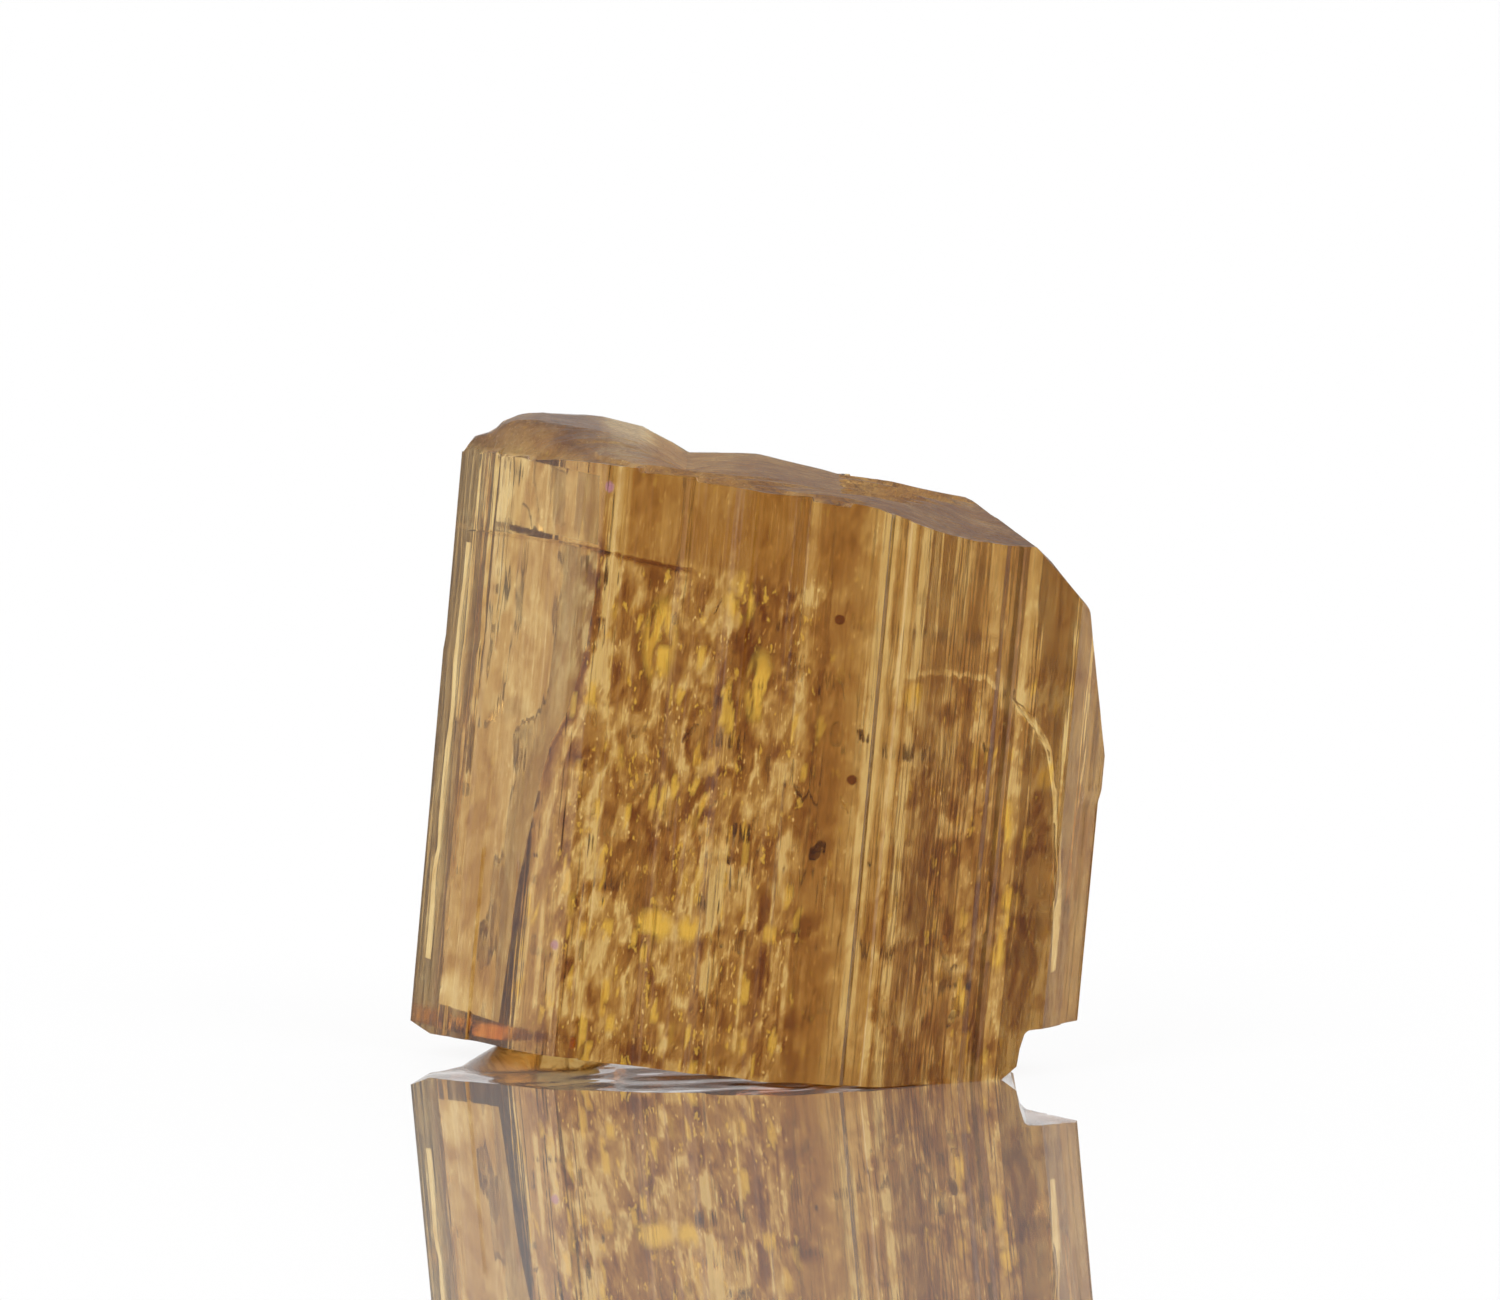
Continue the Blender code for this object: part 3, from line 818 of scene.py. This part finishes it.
NUB_LEFT = (5.70, 5.85)
NUB_TOP = (1.45, 1.20)
NUB_LOSS = 0.40
SPECK_EDGE = (0.13, 0.07)
GLINT_EDGE = (0.15, 0.06)
GLINT_SHARE = 0.8
SIDE_ROUGHNESS = 0.10
BACK_ROUGHNESS = 0.24
BACK_SIDE = (-0.1, 0.3)
END_ROUGHNESS = 0.5
LEAST_ROUGHNESS = 0.02
SMOOTH_BELOW = (-0.8, -0.3)
FLAT_BELOW = (-0.7, -0.3)
SIDE_BUMP = 0.35
END_BUMP = 0.9


def gone(depth):
    """What is left of white light at a depth of colour."""
    return tuple(math.exp(-least - depth * more) for least, more in zip(PALEST_LOSS, DEEPER_LOSS))


topaz.use_nodes = True
shader = topaz.node_tree.nodes["Principled BSDF"]
start = Wire(topaz.node_tree)
patch_depth = start.node("ShaderNodeAttribute", {"attribute_name": "patch_depth"}, None, "Fac")
gold = start.node("ShaderNodeAttribute", {"attribute_name": "gold_light"}, None, "Fac")
shattered = start.node("ShaderNodeAttribute", {"attribute_name": "shattered"}, None, "Fac")
broken_end = start.node("ShaderNodeAttribute", {"attribute_name": "broken_end"}, None, "Fac")
outside = start.node("ShaderNodeAttribute", {"attribute_name": "outside"}, None, "Fac")
place = start.node("ShaderNodeTexCoord", None, None, "Object")
place = place.node("ShaderNodeMapping", {"vector_type": "TEXTURE"}, {
    "Vector": place, "Location": Vector(FRAME_PLACE) * MM, "Rotation": (0.0, LEAN, 0.0),
    "Scale": (MM, MM, MM)})
x = place.node("ShaderNodeSeparateXYZ", None, {"Vector": place})
y, z = x.beside("Y"), x.beside("Z")
facing = place.node("ShaderNodeNewGeometry", None, None, "True Normal")
normal_z = facing.node("ShaderNodeSeparateXYZ", None, {"Vector": facing}, "Z")
normal_y = normal_z.beside("Y")

# Its depth of colour: lines of the striations and speckles, a painted sheen on the palest striae and small
# painted glints, and then the cracks, each with a sharp edge.
striae = place.grain(STRIA_SCALE, 2.0)
speckle = place.grain(SPECKLE_SCALE, 3.0, (3.0, 5.0, 1.0))
ragged = (speckle - 0.5) * EDGE_RAGGEDNESS
side = 1.0 - broken_end
front = y.rise(*FRONT_EDGE)
in_front = front * side
depth = patch_depth + BACK_DEPTH * side + FRONT_DEPTH * in_front
# The palest striae are made paler still, as a painted sheen.
depth = depth + (striae - 0.5) * STRIA_DEPTH - STRIA_GLOSS * striae.rise(*STRIA_GLOSS_LEVEL)
depth = depth + (speckle - 0.5) * (SPECKLE_DEPTH[0] + SPECKLE_DEPTH[1] * shattered)
deeper = DEEP_DEPTH[0] + DEEP_DEPTH[1] * z.rise(*DEEP_TOP)
depth = depth + in_front * x.rise(*DEEP_LEFT) * x.rise(*DEEP_RIGHT) * deeper
depth = depth - in_front * (PALE_RIM_LOSS * x.rise(*PALE_RIM) + PALE_RIGHT_LOSS * x.rise(*PALE_RIGHT))
depth = depth - NUB_LOSS * x.rise(*NUB_LEFT) * z.rise(*NUB_TOP) * in_front
# Small painted glints, paler spots in the colour.
glints = place.grain(GLINT_SCALE, 1.0).rise(*GLINT_LEVEL)
depth = depth - GLINT_PALENESS * glints * in_front * (0.2 + shattered)

# The left crack parts a strip from the middle, painted paler as light that the crack reflects. A line of
# painted shade and a line of painted highlight run along its right side.
LEFT_TOP = (13.0, -4.27)
LEFT_LEVELS = (0.0, 14.0)
STRIP_EDGE = (-0.03, 0.05)
STRIP_REFLECTION = (0.07, 0.08)
STRIP_UPPER = (5.0, 7.5)
BESIDE_TOP = (11.4, 10.9)
CRACK_SHADE_EDGE = (-0.17, -0.05)
CRACK_SHADE_DEPTH = (0.18, 0.27)
CRACK_HIGHLIGHT_EDGES = ((-0.42, -0.34), (-0.17, -0.25))
CRACK_HIGHLIGHT = 0.25
left_line = [(height, across) for across, height in LEFT_CRACK[::-1]] + [LEFT_TOP]
left_way = z.line(left_line, *LEFT_LEVELS) + ragged - x
left_strip = left_way.rise(*STRIP_EDGE) * front
beside_left = (1.0 - left_strip) * front * z.rise(*BESIDE_TOP)
upper = z.rise(*STRIP_UPPER)
depth = depth - left_strip * (STRIP_REFLECTION[0] + STRIP_REFLECTION[1] * upper)
depth = depth + left_way.rise(*CRACK_SHADE_EDGE) * beside_left * (CRACK_SHADE_DEPTH[0] + CRACK_SHADE_DEPTH[1] * upper)
depth = depth - CRACK_HIGHLIGHT * left_way.rise(*CRACK_HIGHLIGHT_EDGES[0]) * left_way.rise(*CRACK_HIGHLIGHT_EDGES[1]) * beside_left

# The crystal is deeper in colour under the arch crack at the right. A painted highlight runs along its rim.
ARCH_END = (6.70, 1.0)
ARCH_REACH = (2.0, 7.0)
ARCH_EDGE = (-0.05, 0.10)
ARCH_START = (2.0, 2.9)
ARCH_DEPTH = 0.15
RIM_HIGHLIGHT_EDGES = ((-0.16, -0.04), (0.03, -0.02))
RIM_START = (2.4, 3.6)
RIM_LOSS = 0.32
arch_way = x.line(ARCH_CRACK + (ARCH_END,), *ARCH_REACH) + ragged - z
arch = arch_way.rise(*ARCH_EDGE) * x.rise(*ARCH_START) * front
arch_rim_highlight = arch_way.rise(*RIM_HIGHLIGHT_EDGES[0]) * arch_way.rise(*RIM_HIGHLIGHT_EDGES[1]) * x.rise(*RIM_START) * front
depth = depth + ARCH_DEPTH * arch - RIM_LOSS * arch_rim_highlight

# The slab above the cleavage crack is paler, and the crack itself shows as a thin dark line, partly the
# crack and partly a painted shadow.
SLAB_END = (-0.5, 10.70)
SLAB_REACH = (-8.0, 0.0)
SLAB_EDGE = (-0.03, 0.03)
SLAB_RIGHT = (0.0, -1.6)
SLAB_LOSS = 0.05
SLAB_LINE_EDGES = ((-0.13, -0.03), (0.05, 0.01))
SLAB_LINE_RIGHT = (-1.9, -2.3)
SLAB_LINE_DEEPER = (-4.6, -4.2)
SLAB_LINE_DEPTH = (0.10, 0.30)
slab_way = z + ragged * 0.5 - x.line(CLEAVAGE_CRACK + (SLAB_END,), *SLAB_REACH)
slab = slab_way.rise(*SLAB_EDGE) * x.rise(*SLAB_RIGHT)
slab_line_and_shadow = slab_way.rise(*SLAB_LINE_EDGES[0]) * slab_way.rise(*SLAB_LINE_EDGES[1])
slab_line_and_shadow = slab_line_and_shadow * x.rise(*SLAB_LINE_RIGHT) * front
line_depth = SLAB_LINE_DEPTH[0] + SLAB_LINE_DEPTH[1] * x.rise(*SLAB_LINE_DEEPER)
depth = depth - SLAB_LOSS * slab + slab_line_and_shadow * line_depth
for speck in DARK_SPECKS:
    depth = depth + (place.away_from(speck) + ragged * 0.3).rise(*SPECK_EDGE)

stops = [(stop, gone(stop)) for stop in DEPTH_STOPS]
tint = depth.node("ShaderNodeValToRGB", {"stops": stops}, {"Fac": depth})
# Painted golden light: the windows' gold, and gold sparkles where the speckle is brightest.
glow = gold + speckle.rise(*SPECKLE_SPARKLE_LEVEL) * shattered * SPECKLE_SPARKLE_GOLD
tint = tint.blend(GOLD, glow.maths("MINIMUM", glow, 1.0))
# Two painted violet glints of iridescence.
for glint in VIOLET_GLINTS:
    tint = tint.blend(VIOLET, (place.away_from(glint) + ragged * 0.5).rise(*GLINT_EDGE) * GLINT_SHARE)
tint = tint.blend((1.0, 1.0, 1.0), 1.0 - outside)
rough = SIDE_ROUGHNESS + BACK_ROUGHNESS * normal_y.rise(*BACK_SIDE) + END_ROUGHNESS * broken_end
rough = rough * normal_z.rise(*SMOOTH_BELOW) * outside + LEAST_ROUGHNESS
waves = place.grain(STREAK_SIZE, 2.0, (3.0, 1.0, 0.0))
crumbs = place.grain(CRUMB_SCALE, 2.0, (1.0, 6.0, 2.0))
bumpy = (SIDE_BUMP * side + END_BUMP * broken_end) * outside * normal_z.rise(*FLAT_BELOW)
height = waves * side + crumbs * broken_end * CRUMB_SHARE
uneven = height.node("ShaderNodeBump", None, {
    "Height": height, "Distance": BUMP_HEIGHT * MM, "Strength": bumpy})
shader.inputs["IOR"].default_value = TOPAZ_IOR
shader.inputs["Transmission Weight"].default_value = 1.0
for name, wire in (("Base Color", tint), ("Roughness", rough), ("Normal", uneven)):
    topaz.node_tree.links.new(wire.socket, shader.inputs[name])
body = start.node("ShaderNodeVolumeAbsorption", None, {"Color": BODY_COLOUR, "Density": BODY_DENSITY})
topaz.node_tree.links.new(body.socket, topaz.node_tree.nodes["Material Output"].inputs["Volume"])
crystal_data.materials.append(topaz)
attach(crystal, "root")
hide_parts("topaz_crystal")

# The table. It is a pale polished sheet, level and wide, which mirrors more the flatter one looks along it.
# It only carries the crystal, and isn't part of it.
TABLE_REACH = 3.0
TABLE_COLOUR = (0.92, 0.92, 0.92, 1.0)
TABLE_ROUGHNESS = 0.5
POLISH_ROUGHNESS = 0.015
POLISH_SHARE = 0.92
POLISH_RISE = (0.30, 0.92)
table_corners = [(TABLE_REACH * x_side, TABLE_REACH * y_side, 0.0)
                 for x_side, y_side in ((-1, -1), (1, -1), (1, 1), (-1, 1))]
table_data = bpy.data.meshes.new("table_top")
table_data.from_pydata(table_corners, [], [(0, 1, 2, 3)])
table = bpy.data.objects.new("table_top", table_data)
bpy.context.scene.collection.objects.link(table)
polish = bpy.data.materials.new("pale_polish")
polish.use_nodes = True
sheet = Wire(polish.node_tree, polish.node_tree.nodes["Principled BSDF"].outputs["BSDF"])
sheet.socket.node.inputs["Base Color"].default_value = TABLE_COLOUR
sheet.socket.node.inputs["Roughness"].default_value = TABLE_ROUGHNESS
flatness = sheet.node("ShaderNodeLayerWeight", None, {"Blend": 0.5}, "Facing")
mirror = sheet.node("ShaderNodeBsdfAnisotropic", None, {"Color": (1.0, 1.0, 1.0, 1.0),
                                                        "Roughness": POLISH_ROUGHNESS})
polished = sheet.node("ShaderNodeMixShader", None, {0: flatness.rise(*POLISH_RISE) * POLISH_SHARE,
                                                    1: sheet, 2: mirror})
polish.node_tree.links.new(polished.socket, polish.node_tree.nodes["Material Output"].inputs["Surface"])
table_data.materials.append(polish)

# The studio. It is white all round, a little darker above, and much darker on the side that faces the
# crystal's front, where two soft lamps make the inner facets glint. The camera itself sees plain white.
DARK_SIDE = (0.12, 0.48)
DARK_SIDE_TURN = 0.10
DARK_SIDE_TOP = (0.85, 0.5)
DARK_SIDE_LOSS = 0.90
CEILING = (0.45, 0.9)
CEILING_LOSS = 0.2
SOFT_LAMPS = ((-0.45, -0.62, 0.64), (0.55, -0.50, 0.67))
LAMP_EDGE = (0.955, 0.975)
LAMP_STRENGTH = 4.0
studio = bpy.data.worlds.new("white_studio")
bpy.context.scene.world = studio
studio.use_nodes = True
direction = Wire(studio.node_tree).node("ShaderNodeTexCoord", None, None, "Generated")
rightward = direction.node("ShaderNodeSeparateXYZ", None, {"Vector": direction})
upward = rightward.beside("Z")
toward_front = rightward * DARK_SIDE_TURN - rightward.beside("Y")
dark_side = toward_front.rise(*DARK_SIDE) * upward.rise(*DARK_SIDE_TOP)
light = (1.0 - DARK_SIDE_LOSS * dark_side) * (1.0 - CEILING_LOSS * upward.rise(*CEILING))
for lamp in SOFT_LAMPS:
    toward = direction.node("ShaderNodeVectorMath", {"operation": "DOT_PRODUCT"},
                            {0: direction, 1: Vector(lamp).normalized()}, "Value")
    light = light + toward.rise(*LAMP_EDGE) * LAMP_STRENGTH
seen = direction.node("ShaderNodeLightPath", None, None, "Is Camera Ray")
backdrop = studio.node_tree.nodes["Background"]
backdrop.inputs["Color"].default_value = (1.0, 1.0, 1.0, 1.0)
studio.node_tree.links.new(light.maths("MAXIMUM", light, seen).socket, backdrop.inputs["Strength"])

# The camera. It stands before the crystal's front, looks slightly down on it, and sees only a narrow angle.
LOOK_DOWN = math.radians(5.5)
CAMERA_DISTANCE = 0.220
SENSOR_WIDTH = 36.0
LENS = 237.6
NEAREST = 0.01
CAMERA_AIM = Vector((-0.105, -0.077, 9.17)) * MM
camera_data = bpy.data.cameras.new("camera")
camera_data.sensor_width = SENSOR_WIDTH
camera_data.lens = LENS
camera_data.clip_start = NEAREST
camera = bpy.data.objects.new("camera", camera_data)
bpy.context.scene.collection.objects.link(camera)
ahead = Vector((0.0, math.cos(LOOK_DOWN), -math.sin(LOOK_DOWN)))
camera.location = CAMERA_AIM - ahead * CAMERA_DISTANCE
camera.rotation_euler = (math.pi / 2 - LOOK_DOWN, 0.0, 0.0)
bpy.context.scene.camera = camera

scene = bpy.context.scene
scene.view_settings.view_transform = "Standard"
scene.cycles.max_bounces = 10
scene.cycles.glossy_bounces = 8
scene.cycles.transmission_bounces = 10
scene.cycles.transparent_max_bounces = 24
